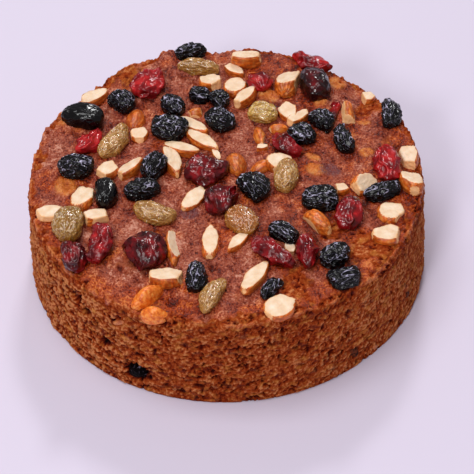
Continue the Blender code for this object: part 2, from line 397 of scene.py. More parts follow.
# Spots where the skin wore through to the crumb: x, y and radius
WORN_SPOTS = ((27, -61, 9), (57, -42, 10), (41, -36, 5), (-40, 62, 7), (62, 38, 6))
# Thin flakes that stand up from the rim: angle in degrees, height, and width in degrees
FLAKES = ((5.5, 4.2, 1.4), (17, 1.5, 1.2), (21, 1.2, 0.9), (101, 0.9, 1.6), (128, 1.0, 1.4), (158, 0.8, 1.2))
# Chopped nuts that sank into the batter and show as low, glazed swellings: x, y, turn, length, width, height
BURIED_NUTS = (
    (-65.2, -4, -64, 11, 9, 1.3), (-68.2, 33.3, -8, 6, 5, 1.1), (19.3, 47.6, -34, 10, 7, 1.5),
    (49.1, 55.2, -89, 9, 8, 1.6), (64.1, 38.6, -87, 8.5, 8, 1.6), (36.8, 0.9, -32, 9, 6.5, 1.2),
    (36, 8.5, -40, 7, 4, 0.9), (58.3, 10.5, 41, 6, 5, 0.9), (58.3, 28.2, -2, 6, 3, 0.7),
    (41.1, 42, 24, 6, 4.5, 0.9),
)
# Raisins that sank deeper and only stain the crust, with the same six values
BURIED_RAISINS = ((42.5, 0.5, -24, 9.5, 8, 0.5), (-14.9, -21.7, -4, 7.5, 6.5, 0.4))


def crust_height(x, y):
    """The height of the plain crust: a shallow dome whose outer band follows the rim's rise."""
    radius = np.hypot(x, y)
    dome = DOME_RISE * (1 - np.minimum(radius / TOP_RADIUS, 1) ** 2)
    share = smooth_step((radius - FLAT_RADIUS + RIM_BAND) / RIM_BAND)
    over = np.clip(radius - FLAT_RADIUS, 0, SHOULDER)
    return WALL_TOP + dome + share * rim_rise(np.arctan2(y, x)) + np.sqrt(SHOULDER**2 - over**2)


def lie_of(node):
    """How a solid lies, in mm: its middle seen from above, the turn that makes its outline narrowest, and its
    length and width along and across that turn."""
    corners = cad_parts[node].data.vertices
    seen = np.empty(len(corners) * 3, np.float32)
    corners.foreach_get("co", seen)
    seen = seen.reshape(-1, 3)[:, :2].astype(float) / MM
    turns = np.radians(np.arange(180))
    along = seen @ np.array([np.cos(turns), np.sin(turns)])
    across = seen @ np.array([-np.sin(turns), np.cos(turns)])
    best = np.argmin(np.ptp(across, axis=0))
    turn = turns[best]
    u = (along[:, best].min() + along[:, best].max()) / 2
    v = (across[:, best].min() + across[:, best].max()) / 2
    x = u * math.cos(turn) - v * math.sin(turn)
    y = u * math.sin(turn) + v * math.cos(turn)
    return x, y, turn, np.ptp(along[:, best]), np.ptp(across[:, best])


def share_out(x, y, middle_x, middle_y, turn, length, width):
    """How far out each place is in an oval that lies so, from 0 in its middle to 1 on its outline."""
    u = (x - middle_x) * math.cos(turn) + (y - middle_y) * math.sin(turn)
    v = (y - middle_y) * math.cos(turn) - (x - middle_x) * math.sin(turn)
    return np.hypot(u / length, v / width) * 2


def collar(x, y):
    """How much the crust swells round the toppings, from 0 to 1: a bell curve of the distance from each one's
    outline, which is taken as an ellipse."""
    swell = np.zeros(len(x))
    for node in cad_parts:
        if node == "cake":
            continue
        lie = lie_of(node)
        away = (share_out(x, y, *lie) - 0.9) * sum(lie[3:]) / 4
        swell = np.maximum(swell, bell(away, 0, COLLAR_FADE))
    return swell


def lifted_by(buried, x, y):
    """How far what is buried lifts the crust, in mm, and how clearly it shows, from 0 to 1: flattened domes
    with an uneven outline."""
    lift, clear = np.zeros(len(x)), np.zeros(len(x))
    ragged = 1 + 0.22 * soft_noise(np.stack([x, y, 0 * x], 1) / 2.4, 130)
    for middle_x, middle_y, turn, length, width, tall in buried:
        share = share_out(x, y, middle_x, middle_y, math.radians(turn), length, width) * ragged
        lift = np.maximum(lift, tall * smooth_step(1.5 - share) ** 0.8)
        clear = np.maximum(clear, smooth_step(2.6 - 2.2 * share))
    return lift, clear


def pored_skin(points):
    """The relief of the baked skin, in mm, and its tone: wide and middling waves, close pores where a scattered
    seed is near, and fine grit. The pores are darker in tone, partly their own colour and partly painted shade."""
    wide = soft_noise(points / 14, 50)
    middling = soft_noise(points / 5.2, 53)
    grit = soft_noise(points / 1.5, 56)
    pores = 1 - smooth_step(to_nearest_seed(points / 2.5, 60) * 3.2 - 0.1)
    pores = pores * smooth_step(soft_noise(points / 3.4, 64) * 1.3 + 0.55)
    out = 0.75 * wide + 0.5 * middling + 0.34 * grit - 0.7 * pores
    tone = 0.56 + 0.08 * wide + 0.2 * middling + 0.26 * grit - 0.7 * pores
    return out, tone


side = np.linspace(-1, 1, 2 * CRUST_RINGS + 1)
a, b = (grid.ravel() for grid in np.meshgrid(side, side, indexing="ij"))
ring = np.maximum(np.abs(a), np.abs(b))
# A square of rings laid round the centre: each quarter of a square ring becomes a quarter of a circle
wide_a = np.abs(a) >= np.abs(b)
quarter = math.pi / 4
with np.errstate(divide="ignore", invalid="ignore"):
    turn_a = quarter * b / a + np.where(a < 0, math.pi, 0)
    turn_b = 2 * quarter - quarter * a / b + np.where(b < 0, math.pi, 0)
around = np.nan_to_num(np.where(wide_a, turn_a, turn_b))

flat_share = FLAT_RINGS / CRUST_RINGS
inner = np.minimum(ring / flat_share, 1) * FLAT_RADIUS
past = np.maximum(ring - flat_share, 0) / (1 - flat_share) * EDGE_LENGTH
bend = np.minimum(past / SHOULDER, math.pi / 2)
down = np.maximum(past - SHOULDER * math.pi / 2, 0)
tuck = TUCK * smooth_step(down / (EDGE_LENGTH - SHOULDER * math.pi / 2))
radius = inner + SHOULDER * np.sin(bend) + 0.05 * down - tuck
x, y = radius * np.cos(around), radius * np.sin(around)
flat = np.minimum(radius, FLAT_RADIUS)
z = crust_height(flat * np.cos(around), flat * np.sin(around)) - SHOULDER * (1 - np.cos(bend)) - down
plain = np.stack([x, y, z], -1)

skin_out, skin_tone = pored_skin(plain)
torn_out, torn_tone = torn_crumb(plain)
# The skin is broken past a ragged line near the rim, and thin in a few patches and worn spots further in
ragged = soft_noise(plain / 9, 90) * 4.5 + soft_noise(plain / 2.6, 94) * 2.2
patches = smooth_step((soft_noise(plain / 9, 97) + 0.5 * soft_noise(plain / 3.1, 98) - 0.5) * 5)
broken = np.maximum(smooth_step((inner + past - BREAK_RUN + ragged) / 4), patches * 0.35)
worn = np.zeros(len(plain))
for middle_x, middle_y, reach in WORN_SPOTS:
    away = (np.hypot(x - middle_x, y - middle_y) + ragged) / reach
    worn = np.maximum(worn, smooth_step((1.1 - away) * 2))
broken = np.maximum(broken, worn * 0.8)
# Here and there the skin curls up along the rim as a thin orange lip, painted lighter as a highlight
lip = bell(past - 0.9 * soft_noise(plain / 6, 110), LIP_AT, 0.85)
lip = lip * smooth_step(soft_noise(plain / 8, 112) * 1.6 + 0.6)
broken = broken * (1 - 0.85 * lip)
dent = larger_hollows(plain)
out = skin_out * (1 - broken) + (torn_out - SET_BACK) * broken - dent
# The rim stands up a little, in jags
jags = 1.6 * (0.4 - np.abs(soft_noise(plain / (4.2, 4.2, 12), 101)))
jags += soft_noise(plain / (1.7, 1.7, 6), 104) * 0.9
nut_lift, nut = lifted_by(BURIED_NUTS, x, y)
stain_lift, stain = lifted_by(BURIED_RAISINS, x, y)
round_toppings = collar(x, y) * (ring < flat_share)
lift = COLLAR * round_toppings + bell(past, CREST_AT, 1.7) * (0.2 + jags) + 1.1 * lip + nut_lift + stain_lift
degrees = np.degrees(around) % 360
for at, tall, width in FLAKES:
    lift += tall * bell(degrees, at, width) * bell(past, FLAKES_AT, 1.1)
outward = np.stack([np.sin(bend) * np.cos(around), np.sin(bend) * np.sin(around), np.cos(bend)], -1)
crust_points = plain + outward * out[:, None]
crust_points[:, 2] += lift
# Painted shade: the tone is darker in the larger hollows and close round each topping
crust_tone = skin_tone * (1 - broken) + torn_tone * broken - 0.4 * dent - 0.2 * round_toppings
crust_tone += 0.1 * worn - 0.07 * smooth_step((x + 10) / 40)
# Painted highlight: the lip's tone is lighter
crust_tone += lip * (0.36 + 0.25 * soft_noise(plain / 3.2, 107))
# Towards the rim, and in patches, the skin browned to orange instead of pinkish brown
warm = 1.2 * smooth_step((radius - 67) / 9) * (0.3 + 0.7 * smooth_step((20 - y) / 50))
warm += 1.2 * soft_noise(plain / 13, 120) + 0.8 * soft_noise(plain / 5, 123)
warm = np.clip(warm + 0.3 * smooth_step(x / 40) + 0.4 * round_toppings + 1.4 * lip, 0, 1)

count = 2 * CRUST_RINGS + 1
corner = (np.arange(count - 1)[:, None] * count + np.arange(count - 1)).ravel()
top_faces = np.stack([corner, corner + count, corner + count + 1, corner + 1], -1)
# The underside: a ring of points under the rim, and one in the middle
rim = np.flatnonzero(ring > 1 - 1e-9)
rim = rim[np.argsort(around[rim] % math.tau)]
under = crust_points[rim] * (UNDER_SHARE, UNDER_SHARE, 0)
under[:, 2] = HEIGHT - CRUST_DEPTH + rim_rise(around[rim])
under_at = len(crust_points) + np.arange(len(rim))
beside = np.roll(under_at, -1)
side_faces = np.stack([rim, under_at, beside, np.roll(rim, -1)], -1)
under_faces = np.stack([under_at, 0 * under_at + len(crust_points) + len(rim), beside], -1)
crust_points = np.vstack([crust_points, under, [0, 0, HEIGHT - CRUST_DEPTH]])
half, none = np.full(len(rim) + 1, 0.5), np.zeros(len(rim) + 1)
crust = put_mesh(
    "cake_crust", crust_points, top_faces.tolist() + side_faces.tolist() + under_faces.tolist(),
    tone=np.append(crust_tone, half), skin=np.append(1 - broken, none), warm=np.append(warm, half),
    nut=np.append(nut, none), stain=np.append(stain, none),
)
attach(crust, "root")

tree, shader, coords = new_material(crust, "baked_skin_finish", {"Specular IOR Level": 0.25})
tone = at_points(tree, "tone")
skin = at_points(tree, "skin")
speck = noise_node(tree, coords, 0.85, 1, Roughness=0.7)
blotch = noise_node(tree, coords, 6)
# The darkest stops of both ramps are painted shade for the pores and hollows
shade = range_node(tree, sum_node(tree, (speck, 2.2), (blotch, 1.9), (tone, 1)), 1.65, 3.15)
baked = ramp_node(
    tree, shade, (0.0, (52, 12, 8)), (0.34, (100, 24, 8)), (0.53, (138, 57, 34)), (0.67, (151, 70, 46)),
    (0.83, (172, 95, 71)), (1.0, (200, 136, 114)),
)
orange = ramp_node(
    tree, shade, (0.0, (52, 12, 4)), (0.34, (100, 20, 0)), (0.53, (138, 44, 4)), (0.67, (156, 57, 12)),
    (0.83, (184, 82, 28)), (1.0, (210, 118, 58)),
)
baked = mix_node(tree, at_points(tree, "warm"), baked, orange)
glazed = ramp_node(
    tree, noise_node(tree, coords, 2.4), (0.3, (164, 70, 20)), (0.5, (206, 112, 40)), (0.72, (230, 158, 86)),
)
baked = mix_node(tree, product_node(tree, at_points(tree, "nut"), 0.8), baked, glazed)
stain = product_node(tree, at_points(tree, "stain"), range_node(tree, speck, 0.4, 0.6, 0.3, 0.8))
baked = mix_node(tree, stain, baked, linear(84, 50, 62))
colour = mix_node(tree, skin, group_node(tree, crumb_colour, Coords=coords, Tone=tone), baked)
lay_on(tree, shader, colour, speck, 0.9, range_node(tree, skin, 0, 1, 0.8, 0.32))
# Only whole skin is greasy: where it is broken, and on the underside, a face takes the crumb's finish
crust.data.materials.append(crumb.data.materials[0])
is_broken = np.ones(len(crust.data.polygons), np.int32)
is_broken[:len(top_faces)] = broken[top_faces].mean(axis=1) > 0.5
crust.data.polygons.foreach_set("material_index", is_broken)


# ---- Black raisins ----
# Dried dark grapes, scattered on the batter before baking. The skin shrank into fine, sharp creases that run
# mostly lengthwise. It is nearly black, with painted bluish-white highlights along the folds of its top side,
# partly a real waxy blush, and glossy where it was washed.

FRUIT_SINK = 1.5
SMOOTHER_FOLDS = 0.4
# The power that the oval's directions are raised to: lower is squarer
FULLNESS = 0.9
SMOOTHER_FULLNESS = 0.74


def oval(rows, turns):
    """Unit directions on a grid that runs along the X axis from -1 to 1, as a first point, rings, and a last
    point."""
    tilt = np.linspace(0, math.pi, rows + 2)[1:-1, None]
    turn = np.linspace(0, math.tau, turns, endpoint=False)
    rings = np.stack([0 * turn - np.cos(tilt), np.sin(tilt) * np.cos(turn), np.sin(tilt) * np.sin(turn)], -1)
    return np.vstack([[-1, 0, 0], rings.reshape(-1, 3), [1, 0, 0]])


def ridges(points, salt):
    """Sharp ridges, from 0 to 1, wherever a smooth noise changes sign, with hollows between."""
    return np.maximum(1 - 2.2 * np.abs(soft_noise(points, salt)), 0) ** 2


def dried_fruit(lie, top, tall, salt, folds, fold_depth, finer, lumps, rows, turns, fullness):
    """One dried fruit: an oval swollen by slow noise, with a net of ridges on it and a finer and lower net over
    that, and bent a little along its length. Each point's crest is how near it is to a ridge, from 0 to 1, its
    place is where it was before the fruit was turned, and up is how far it faces up, from -1 to 1."""
    x, y, turn, length, width = lie
    facing = oval(rows, turns)
    half = np.array((length, width, tall)) / 2
    points = np.sign(facing) * np.abs(facing) ** fullness * half
    offset = np.array((salt * 17.3, salt * 5.1, 0))
    swell = soft_noise(points / (width * 0.6, width * 0.5, width * 0.5) + offset, 200)
    drift = np.stack([soft_noise(points / 4.0 + offset, 210 + k) for k in range(3)], 1)
    along, across = folds
    creased = (points + drift * 1.3) / (along, across, across)
    crest = np.maximum(ridges(creased + offset, 220), finer * ridges(creased * 1.8 + offset, 224))
    normal = facing / half
    normal /= np.linalg.norm(normal, axis=1)[:, None]
    points = points * (1 + lumps * swell)[:, None]
    calm = 1 - np.abs(facing[:, 0]) ** 8
    points = points + normal * ((crest - 0.6) * fold_depth * calm)[:, None]
    bent = (hashed(np.array([[salt, 3, 5]]), 9)[0] - 0.5) * 0.4 * width
    points[:, 1] += bent * (points[:, 0] / length * 2) ** 2
    lying = points @ np.array(Matrix.Rotation(turn, 3, "Z")).T + (x, y, top - tall / 2)
    return {"points": lying, "crest": crest, "place": points + offset, "up": facing[:, 2]}


def joined_piece(name, rows, turns, grown):
    """One piece that rides with the cake, made of many ovals: each has its points, and values at them."""
    size_of_one = rows * turns + 2
    faces = [face for number in range(len(grown)) for face in tube_faces(rows, turns, size_of_one * number)]
    joined = {label: np.concatenate([one[label] for one in grown]) for label in grown[0]}
    piece = put_mesh(name, joined.pop("points"), faces, **joined)
    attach(piece, "root")
    return piece


def fruit_piece(name, kind, looks, folds, fold_depth, finer, lumps, rows, turns, smoother=(), more=()):
    """One piece of all the fruit of a kind, each grown where its solid lies, and the solids that it replaces.
    Each has a look from 0 to 1. The smoother ones keep under half of their folds. The fruit beyond the solids
    have rows of x, y, turn, length, width and height."""
    nodes = sorted(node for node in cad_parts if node.startswith(kind))
    lies = []
    for node in nodes:
        low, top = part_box(node)[0][2] / MM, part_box(node)[1][2] / MM
        lies.append((node, lie_of(node), top, top - low + FRUIT_SINK))
    for x, y, turn, length, width, tall in more:
        top = float(crust_height(x, y)) + tall - FRUIT_SINK
        lies.append((None, (x, y, math.radians(turn), length, width), top, tall))
    grown = []
    for number, (node, lie, top, tall) in enumerate(lies):
        kept, fullness = (SMOOTHER_FOLDS, SMOOTHER_FULLNESS) if node in smoother else (1, FULLNESS)
        one = dried_fruit(
            lie, top, tall, number, folds, fold_depth * kept, finer, lumps * kept, rows, turns, fullness
        )
        one["crest"] *= 0.5 + 0.5 * kept
        one["own"] = np.full(len(one["up"]), looks[number])
        grown.append(one)
    piece = joined_piece(name, rows, turns, grown)
    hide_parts(*nodes)
    return piece


def place_on_piece(tree, along):
    """Coordinates that follow each fruit or nut of a piece. The lower this share, the longer a pattern is drawn
    out lengthwise."""
    place = add_node(tree, "ShaderNodeAttribute", attribute_name="place").outputs["Vector"]
    return add_node(tree, "ShaderNodeMapping", {"Vector": place, "Scale": (along, 1, 1)}).outputs[0]


# Fine creases: a net of ridges about the spacing apart, in mm, with 1 on each ridge and 0 in the hollows
# between. The sharper it is, the thinner the ridges are.
tree, given, result = new_group("crease_net", ["Spacing", "Detail", "Sharpness"], "Net", "NodeSocketFloat")
crease_net = tree
scale = math_node(tree, "DIVIDE", 1 / MM, given["Spacing"])
noise = noise_node(tree, given["Coords"], 1, given["Detail"], Scale=scale, Roughness=0.6)
away = math_node(tree, "ABSOLUTE", math_node(tree, "SUBTRACT", noise, 0.5))
tree.links.new(range_node(tree, product_node(tree, away, given["Sharpness"]), 0, 1, 1, 0), result)

# How clearly the creases show: the first and the last but one are smooth
BLACK_LOOKS = (0.1, *[1.0] * 21, 0.3, 1.0)
black_raisins = fruit_piece(
    "black_raisins", "black_raisin", BLACK_LOOKS, folds=(7.0, 2.2), fold_depth=1.0, finer=0.5, lumps=0.14,
    rows=44, turns=88, smoother=("black_raisin_01", "black_raisin_23"),
)
tree, shader, coords = new_material(black_raisins, "black_raisin_finish", {"Specular IOR Level": 0.35})
net = group_node(tree, crease_net, Coords=place_on_piece(tree, 0.4), Spacing=1.7, Detail=0, Sharpness=9)
highlight_patches = noise_node(tree, coords, 3.0)
ridge = product_node(
    tree, net, range_node(tree, at_points(tree, "crest"), 0, 1, 0.75, 1.1),
    range_node(tree, highlight_patches, 0.35, 0.65, 0.6, 1.25), at_points(tree, "own"),
)
# Painted highlights: the bright ridge lines are painted on the top side only, and the lower side stays plain
# black
lit_top = range_node(tree, at_points(tree, "up"), -0.4, 0.5, 0.2, 1.0)
colour = ramp_node(
    tree, product_node(tree, ridge, lit_top), (0.3, (4, 2, 4)), (0.6, (40, 37, 50)), (0.95, (206, 200, 228)),
)
lay_on(tree, shader, colour, ridge, 0.7, range_node(tree, highlight_patches, 0.3, 0.7, 0.1, 0.22))


# ---- Golden raisins ----
# Dried green grapes: amber to olive, plumper than the black ones, and lit a little from within by their
# subsurface and by a painted glow on their thin sides. Their wrinkles are shallower and painted darker in the
# creases as shade, and the folds on the top side carry pale sugary marks and painted highlights.

# The colour of each: 0 is yellow, 0.2 olive, 0.3 to 0.5 tan, and 1 brown amber
GOLDEN_LOOKS = (0.45, 0.3, 0.0, 0.5, 0.4, 0.4, 1.0, 0.2)
golden_raisins = fruit_piece(
    "golden_raisins", "golden_raisin", GOLDEN_LOOKS, folds=(5.5, 2.4), fold_depth=0.62, finer=0.5, lumps=0.12,
    rows=48, turns=96,
)
tree, shader, coords = new_material(golden_raisins, "golden_raisin_finish", {
    "Roughness": 0.14, "Subsurface Weight": 0.6, "Subsurface Radius": (1.0, 0.6, 0.2),
    "Subsurface Scale": 1.6 * MM, "Coat Weight": 0.35, "Coat Roughness": 0.06,
})
net = group_node(tree, crease_net, Coords=place_on_piece(tree, 0.5), Spacing=1.6, Detail=1, Sharpness=10)
ridge = sum_node(tree, (at_points(tree, "crest"), 0.4), (net, 0.6))
ridge = product_node(tree, ridge, range_node(tree, noise_node(tree, coords, 4, 2), 0.3, 0.6, 0.5, 1.1))
# Painted light: the thin sides are painted a clearer, deeper amber for light shining through, the creases
# darker as shade, and the top's folds pale, partly sugary and partly painted highlights
lit_top = range_node(tree, at_points(tree, "up"), 0.1, 0.8)
base = ramp_node(
    tree, at_points(tree, "own"), (0.0, (204, 164, 84)), (0.2, (156, 116, 50)), (0.3, (176, 130, 70)),
    (0.5, (194, 146, 86)), (1.0, (176, 106, 48)),
)
deep = mix_node(tree, 0.62, base, linear(120, 66, 8))
painted_glow_side = mix_node(tree, 0.55, base, linear(176, 120, 20))
colour = mix_node(tree, range_node(tree, ridge, 0.05, 0.5), deep, mix_node(tree, lit_top, painted_glow_side, base))
sugar_and_highlight = product_node(tree, range_node(tree, ridge, 0.5, 0.95, 0, 0.85), range_node(tree, lit_top, 0, 1, 0.25, 1))
colour = mix_node(tree, sugar_and_highlight, colour, linear(240, 212, 190))
lay_on(tree, shader, colour, ridge, 0.44)


# ---- Cranberries ----
# Sweetened dried cranberries: broad soft folds of deep red flesh, nearly black where they are thick, with
# bright red patches painted as a glow of light shining through, and pink along the ridges, partly a sugary
# frosting and partly painted highlights.

# From nearly black to bright red
CRANBERRY_LOOKS = (0.7, 0.8, 0.7, 0.0, 0.65, 0.45, 0.75, 0.35, 0.5, 0.5, 0.5, 0.25, 0.3, 0.5, 0.3, 0.5)
# A thin piece too small for a solid: x, y, turn, length, width and height
CRANBERRY_STRIP = (46.6, 35.5, 81, 11.8, 4.6, 5)
cranberries = fruit_piece(
    "cranberries", "cranberry", CRANBERRY_LOOKS, folds=(10.0, 5.6), fold_depth=1.7, finer=0.2, lumps=0.13,
    rows=48, turns=88, smoother=("cranberry_04",), more=(CRANBERRY_STRIP,),
)
tree, shader, coords = new_material(cranberries, "cranberry_finish", {
    "Roughness": 0.16, "Specular IOR Level": 0.25, "Coat Weight": 0.3, "Coat Roughness": 0.06,
    "Subsurface Weight": 0.15, "Subsurface Radius": (1.0, 0.15, 0.15), "Subsurface Scale": 1.5 * MM,
})
# Painted glow: the bright red patches, laid by noise and each berry's look, stand for light shining through
deep = sum_node(tree, (noise_node(tree, coords, 4.5), 1.1), (at_points(tree, "own"), 0.55))
colour = ramp_node(
    tree, deep, (0.5, (28, 2, 6)), (0.72, (86, 5, 12)), (0.94, (146, 14, 20)), (1.0, (180, 32, 34)),
)
# Painted highlights: the pink along the ridges is partly a sugary frosting
sugar_and_highlight = range_node(tree, noise_node(tree, coords, 2.5, 2), 0.4, 0.65)
frost_and_highlight = product_node(tree, at_points(tree, "crest"), sugar_and_highlight)
colour = mix_node(tree, range_node(tree, frost_and_highlight, 0.5, 1.0, 0, 0.35), colour, linear(214, 120, 126))
lay_on(tree, shader, colour, noise_node(tree, place_on_piece(tree, 0.6), 2.2, 0), 1.6)


# ---- Almonds ----
# Whole almonds in their skins, chopped with a knife into halves, chunks and slivers. The cuts are flat and
# cream-coloured. The skin is orange-brown, ribbed lengthwise, and paler where the oven dried it.

ALMOND_SINK = 2.0
ALMOND_TAPER = 0.45
KERNEL_DEPTH = 1.6
CUT_ABOVE_MIDDLE = 0.3
# A kernel whose cut leans further than this lies skin up, and has no other cut
SKIN_UP = 150
ALMOND_ROWS = 28
ALMOND_TURNS = 52

# The pieces that have solids: turn, length, width and height; the direction that the cut face leans to and
# how far it leans, in degrees; and the shares chopped off the far and the near end
CHOPPED = {
    "almond_01": (77, 18, 10.5, 9, 115, 24, 0.2, 0),
    "almond_02": (-81, 16.5, 8, 8, 180, 76, 0.2, 0.2),
    "almond_03": (104, 14, 10.5, 8, 60, 20, 0.25, 0),
    "almond_04": (62, 12.5, 11, 5, 70, 6, 0.15, 0),
    "almond_05": (-4, 13.5, 10.5, 5, 80, 5, 0.2, 0.05),
    "almond_06": (-47, 14.5, 8.5, 8, 215, 100, 0, 0.12),
    "almond_07": (57, 18.5, 7.5, 5, 120, 6, 0, 0.02),
    "almond_08": (49, 15, 11.5, 5.5, 240, 4, 0.22, 0.03),
    "almond_09": (-7, 14.5, 8.8, 7, 92, 12, 0.1, 0.06),
    "almond_10": (53, 15, 7.8, 4, 0, 0, 0.1, 0),
    "almond_11": (87, 18.5, 7, 4.5, 90, 4, 0.04, 0),
    "almond_12": (72, 15, 10.2, 6, 140, 10, 0.2, 0),
}
# Chopped so that the ribs run down their sides
RIBBED_ACROSS = ("almond_09", "almond_12")
# The smaller pieces: x, y, and then the same
SMALLER = (
    (-54.6, 51, 33, 14, 8, 6.5, 125, 10, 0.05, 0.1),
    (-37, 36.3, 78, 11.5, 8.2, 5, 0, 180, 0.05, 0.3),
    (-35.3, 24.5, -83, 8.2, 7.8, 5, 0, 0, 0.1, 0.1),
    (-48.1, 4.1, 37, 11.4, 8.6, 5.5, 100, 5, 0.15, 0.15),
    (-38.7, 4.3, 44, 14.6, 7.2, 7, 140, 26, 0.08, 0.12),
    (-21.6, 7.7, -76, 18.3, 7, 6.5, 20, 16, 0, 0.1),
    (-17.4, 14.6, -26, 16, 6, 6, 90, 12, 0, 0),
    (-4.8, 55.8, -55, 11.5, 9.5, 7, 120, 14, 0.15, 0.15),
    (5.2, 63.6, -43, 10.5, 5.5, 5, 60, 6, 0, 0.1),
    (5.4, 53.3, 69, 12, 10, 5, 90, 8, 0, 0),
    (9.5, 45.5, 51, 13.7, 6.8, 6.5, 140, 14, 0, 0.08),
    (11, 68.7, -3, 14.6, 8, 8.5, 90, 16, 0.12, 0.05),
    (-11.8, 37.6, 14, 8.6, 7, 5, 30, 120, 0.15, 0.15),
    (-12.7, 29, -39, 16.2, 6, 5, 80, 6, 0, 0),
    (-9.1, 19.6, -45, 16.9, 7, 5, 60, 8, 0, 0),
    (27.2, 35.3, -65, 13, 7.4, 6.5, 190, 20, 0.12, 0.15),
    (31.2, 30.7, 37, 12.3, 5.2, 6, 0, 0, 0.12, 0.12),
    (14.6, 22.2, -80, 11, 5.2, 5, 20, 110, 0.05, 0),
    (15.6, 14.8, 10, 6.2, 3, 4, 0, 0, 0.15, 0.15),
    (4.2, 5.3, -79, 11.7, 10.1, 7, 0, 180, 0.22, 0),
    (22.7, 26.2, -2, 9, 5, 5, 90, 130, 0.1, 0.1),
    (61.5, 43.7, 16, 7.4, 6, 6, 0, 0, 0.2, 0.2),
    (75.3, 7.5, 88, 13, 8.4, 8.5, 215, 22, 0.2, 0.2),
    (22.6, 3.9, -5, 12, 10.4, 6.5, 20, 8, 0.1, 0),
    (14.8, 3.6, 23, 10, 7, 5, 0, 180, 0.2, 0),
    (-3.5, 10.9, -71, 7.6, 3, 4, 0, 0, 0, 0),
    (56.1, -8.7, 38, 13, 9, 7.5, -30, 38, 0.12, 0.1),
    (46.6, -11.2, 7, 7.6, 6, 5, 90, 10, 0.2, 0.2),
    (24.2, -43.4, -70, 6.4, 4.2, 4, 0, 0, 0.1, 0.1),
    (-31.9, -65.2, 37, 15, 7, 7.5, 0, 180, 0, 0),
    (-29.3, -73.2, -10, 10.5, 6.6, 5.5, 0, 180, 0, 0),
    (-21.7, -40.2, -88, 17.4, 6.8, 6.5, 10, 44, 0, 0),
    (3.9, -38.7, 49, 13.6, 5.2, 4.5, 100, 4, 0, 0),
    (-70.5, -19.8, 5, 12, 7.6, 5.5, 90, 3, 0.08, 0.1),
    (-52, -22.8, 10, 12, 7.8, 6.5, 90, 10, 0.15, 0.1),
)


def almond_piece(turn, length, width, height, facing_to, lean, far, near, salt):
    """A kernel is an oval that narrows towards its tip, ribbed lengthwise. Each knife cut is a plane, and the
    points beyond it are drawn straight back towards the kernel's middle until they meet it: one cut for the
    cut face, one for each end, and one along a side. Each point's margin is above 0 on skin and below 0 on cut
    flesh, its rib is 1 on the ribs and 0 between them, its chop is 1 on the end and side cuts, and its place is
    where it was before the kernel was turned."""
    facing = oval(ALMOND_ROWS, ALMOND_TURNS)
    points = facing * (length / 2, width / 2, height / 2 * KERNEL_DEPTH)
    points[:, 1] *= 1 - ALMOND_TAPER * smooth_step(facing[:, 0] / 2 + 0.1)
    around = np.arctan2(facing[:, 2], facing[:, 1])
    offset = np.array((salt * 13.7, salt * 3.1, 0))
    rib = np.abs(np.sin(around * 8 + 1.4 * soft_noise(points / 4 + offset, 300)))
    uneven = 0.11 * soft_noise(points / (width * 0.7) + offset, 304)
    points = points * (1 + uneven + 0.05 * rib)[:, None]
    tilt, to = math.radians(lean), math.radians(facing_to - turn)
    chances = hashed(np.array([[salt, k, 4] for k in range(4)]), 31)
    side = 1 if chances[0] > 0.5 else -1
    facing_cut = (math.sin(tilt) * math.cos(to), math.sin(tilt) * math.sin(to), math.cos(tilt))
    cuts = [
        (facing_cut, height * CUT_ABOVE_MIDDLE),
        ((1, chances[1] - 0.5, 0.2), length * (0.5 - far)),
        ((-1, chances[2] - 0.5, 0.15), length * (0.5 - near)),
        ((0.5 - chances[3], side, 0.1), width * (0.52 - 0.7 * min(far, 0.2))),
    ]
    room = np.full(len(points), 9.0)
    chop = np.zeros(len(points))
    rough = 1 + 0.06 * soft_noise(points / 2.2 + offset, 308)
    for normal, from_middle in cuts[:1] if lean > SKIN_UP else cuts:
        normal = np.array(normal) / np.linalg.norm(normal)
        reach = points @ normal
        share = np.where(reach > 1e-6, from_middle * rough / np.maximum(reach, 1e-6), 9.0)
        chop = np.where(share < room, normal[2] < 0.5, chop)
        room = np.minimum(room, share)
    points = points * np.minimum(room, 1)[:, None]
    lying = points @ np.array(Matrix.Rotation(math.radians(turn), 3, "Z")).T
    margin = np.clip((room - 1) * 4, -1, 1)
    return {"points": lying, "margin": margin, "rib": rib, "chop": chop, "place": points + offset}


kernels = [(node, None, row) for node, row in CHOPPED.items()]
kernels += [(None, row[:2], row[2:]) for row in SMALLER]
grown = []
for number, (node, middle, row) in enumerate(kernels):
    one = almond_piece(*row, number)
    points = one["points"]
    if node:
        # The grown piece shares its middle and its top with its solid
        low, high = (np.array(corner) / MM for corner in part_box(node))
        middle = (low + high - points.min(axis=0) - points.max(axis=0))[:2] / 2
        top = high[2]
    else:
        # Its top stands above the crust by its height less the depth that it sank
        top = float(crust_height(*middle)) + row[3] - ALMOND_SINK
    points += (*middle, top - points[:, 2].max())
    if node in RIBBED_ACROSS:
        one["place"] = one["place"][:, (2, 0, 1)]
    # Its own value is from 0 to 1, up to 2.2 for the redder chunks that lie skin up, and below 0 for whole
    # almonds that lie skin up, glazed orange and smooth
    lean, far = row[5:7]
    own = hashed(np.array([[number, number + 3, number + 2]]), 55)[0] + 1.2 * (lean > 110 and 0 < far < 0.1)
    one["own"] = np.full(len(points), -0.5 if lean > SKIN_UP and far == 0 else own)
    grown.append(one)
almonds = joined_piece("almonds", ALMOND_ROWS, ALMOND_TURNS, grown)
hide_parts(*CHOPPED)

tree, shader, coords = new_material(almonds, "almond_finish", {
    "Subsurface Weight": 0.1, "Subsurface Radius": (1.0, 0.6, 0.3), "Subsurface Scale": 1.0 * MM,
})
margin = at_points(tree, "margin")
own = at_points(tree, "own")
mottle = noise_node(tree, coords, 3.2, 2)
flesh = ramp_node(tree, mottle, (0.3, (224, 186, 150)), (0.5, (232, 202, 170)), (0.75, (242, 220, 196)))
flesh = mix_node(tree, range_node(tree, margin, -0.3, 0.0, 0, 0.6), flesh, linear(226, 166, 112))
